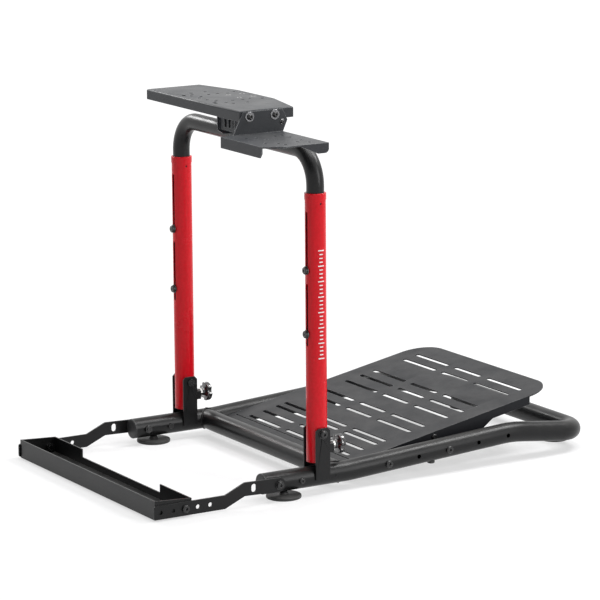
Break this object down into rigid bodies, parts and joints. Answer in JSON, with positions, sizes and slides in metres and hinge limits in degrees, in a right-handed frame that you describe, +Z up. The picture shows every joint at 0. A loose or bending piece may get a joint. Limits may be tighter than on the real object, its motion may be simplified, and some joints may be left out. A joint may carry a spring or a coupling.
{
  "type": "folding racing wheel stand",
  "caption": "Folding floor stand for a racing wheel and pedals: slotted pedal plate, two height-adjusting masts, wheel plate, side shifter plate and chair stop.",
  "frame": {"origin": "middle of the bounding box's foot, on the floor", "axes": "+Z up, +Y from the driver towards the pedals, +X to the driver's right"},
  "size_m": [0.6046, 0.96, 0.693],
  "materials": {
    "frame_black": "satin black powder coat",
    "plate_grey": "matt charcoal textured powder coat",
    "mast_red": "gloss red paint",
    "fastener_black": "black zinc",
    "bare_steel": "zinc plated",
    "cap_plastic": "moulded black plastic",
    "knob_plastic": "glossy black plastic",
    "foot_rubber": "black rubber"
  },
  "bodies": {
    "base": {"left_rail": "frame_black", "right_rail": "frame_black", "left_clevis": "frame_black", "right_clevis": "frame_black", "rail_end_caps": "cap_plastic", "rear_bow": "frame_black", "bow_spigots": "bare_steel", "front_cross_tube": "frame_black", "mast_pivot_bolts": "fastener_black", "stub_screws": "fastener_black", "pedal_plate": "plate_grey", "pedal_bolts": "fastener_black", "pedal_spacers": "bare_steel", "rear_pads": "foot_rubber", "rail_bumpers": "foot_rubber", "arm_pivot_bolts": "fastener_black"},
    "mast": {"left_mast_tube": "mast_red", "right_mast_tube": "mast_red", "left_mast_collar": "mast_red", "right_mast_collar": "mast_red", "guide_sleeves": "cap_plastic", "mast_plugs": "cap_plastic"},
    "lift": {"u_tube": "frame_black", "leg_bushes": "cap_plastic", "slot_bolts": "fastener_black"},
    "wheel_deck": {"wheel_plate": "plate_grey", "saddle_bracket": "plate_grey", "left_clamp_strap": "plate_grey", "right_clamp_strap": "plate_grey", "strap_bolts": "fastener_black", "saddle_bolts": "fastener_black", "shifter_plate": "plate_grey", "shifter_bolts": "fastener_black"},
    "chair_stop": {"left_arm": "frame_black", "right_arm": "frame_black", "wheel_channel": "frame_black", "channel_bolts": "fastener_black"},
    "left_lock_knob": {"left_knob": "knob_plastic"},
    "right_lock_knob": {"right_knob": "knob_plastic"},
    "left_screw_foot": {"left_foot": "foot_rubber"},
    "right_screw_foot": {"right_foot": "foot_rubber"}
  },
  "joints": [
    {"name": "mast_fold", "type": "hinge", "parent": "base", "child": "mast", "pos_m": [-0.0273, -0.133, 0.111], "axis": [-1, 0, 0], "range_deg": [0, 75]},
    {"name": "height_slide", "type": "slide", "parent": "mast", "child": "lift", "axis": [0, 0, 1], "range_m": [0, 0.088]},
    {"name": "deck_tilt", "type": "hinge", "parent": "lift", "child": "wheel_deck", "pos_m": [-0.0273, -0.133, 0.62], "axis": [1, 0, 0], "range_deg": [-20, 30]},
    {"name": "chair_stop_fold", "type": "hinge", "parent": "base", "child": "chair_stop", "pos_m": [-0.0273, -0.225, 0.031], "axis": [-1, 0, 0], "range_deg": [0, 95]},
    {"name": "left_knob_turn", "type": "hinge", "parent": "base", "child": "left_lock_knob", "pos_m": [-0.2703, -0.093, 0.084], "axis": [0, 1, 0], "continuous": true},
    {"name": "right_knob_turn", "type": "hinge", "parent": "base", "child": "right_lock_knob", "pos_m": [0.2157, -0.093, 0.084], "axis": [0, 1, 0], "continuous": true},
    {"name": "left_foot_turn", "type": "hinge", "parent": "base", "child": "left_screw_foot", "pos_m": [-0.2703, -0.203, 0.006], "axis": [0, 0, 1], "continuous": true},
    {"name": "right_foot_turn", "type": "hinge", "parent": "base", "child": "right_screw_foot", "pos_m": [0.2157, -0.203, 0.006], "axis": [0, 0, 1], "continuous": true}
  ]
}
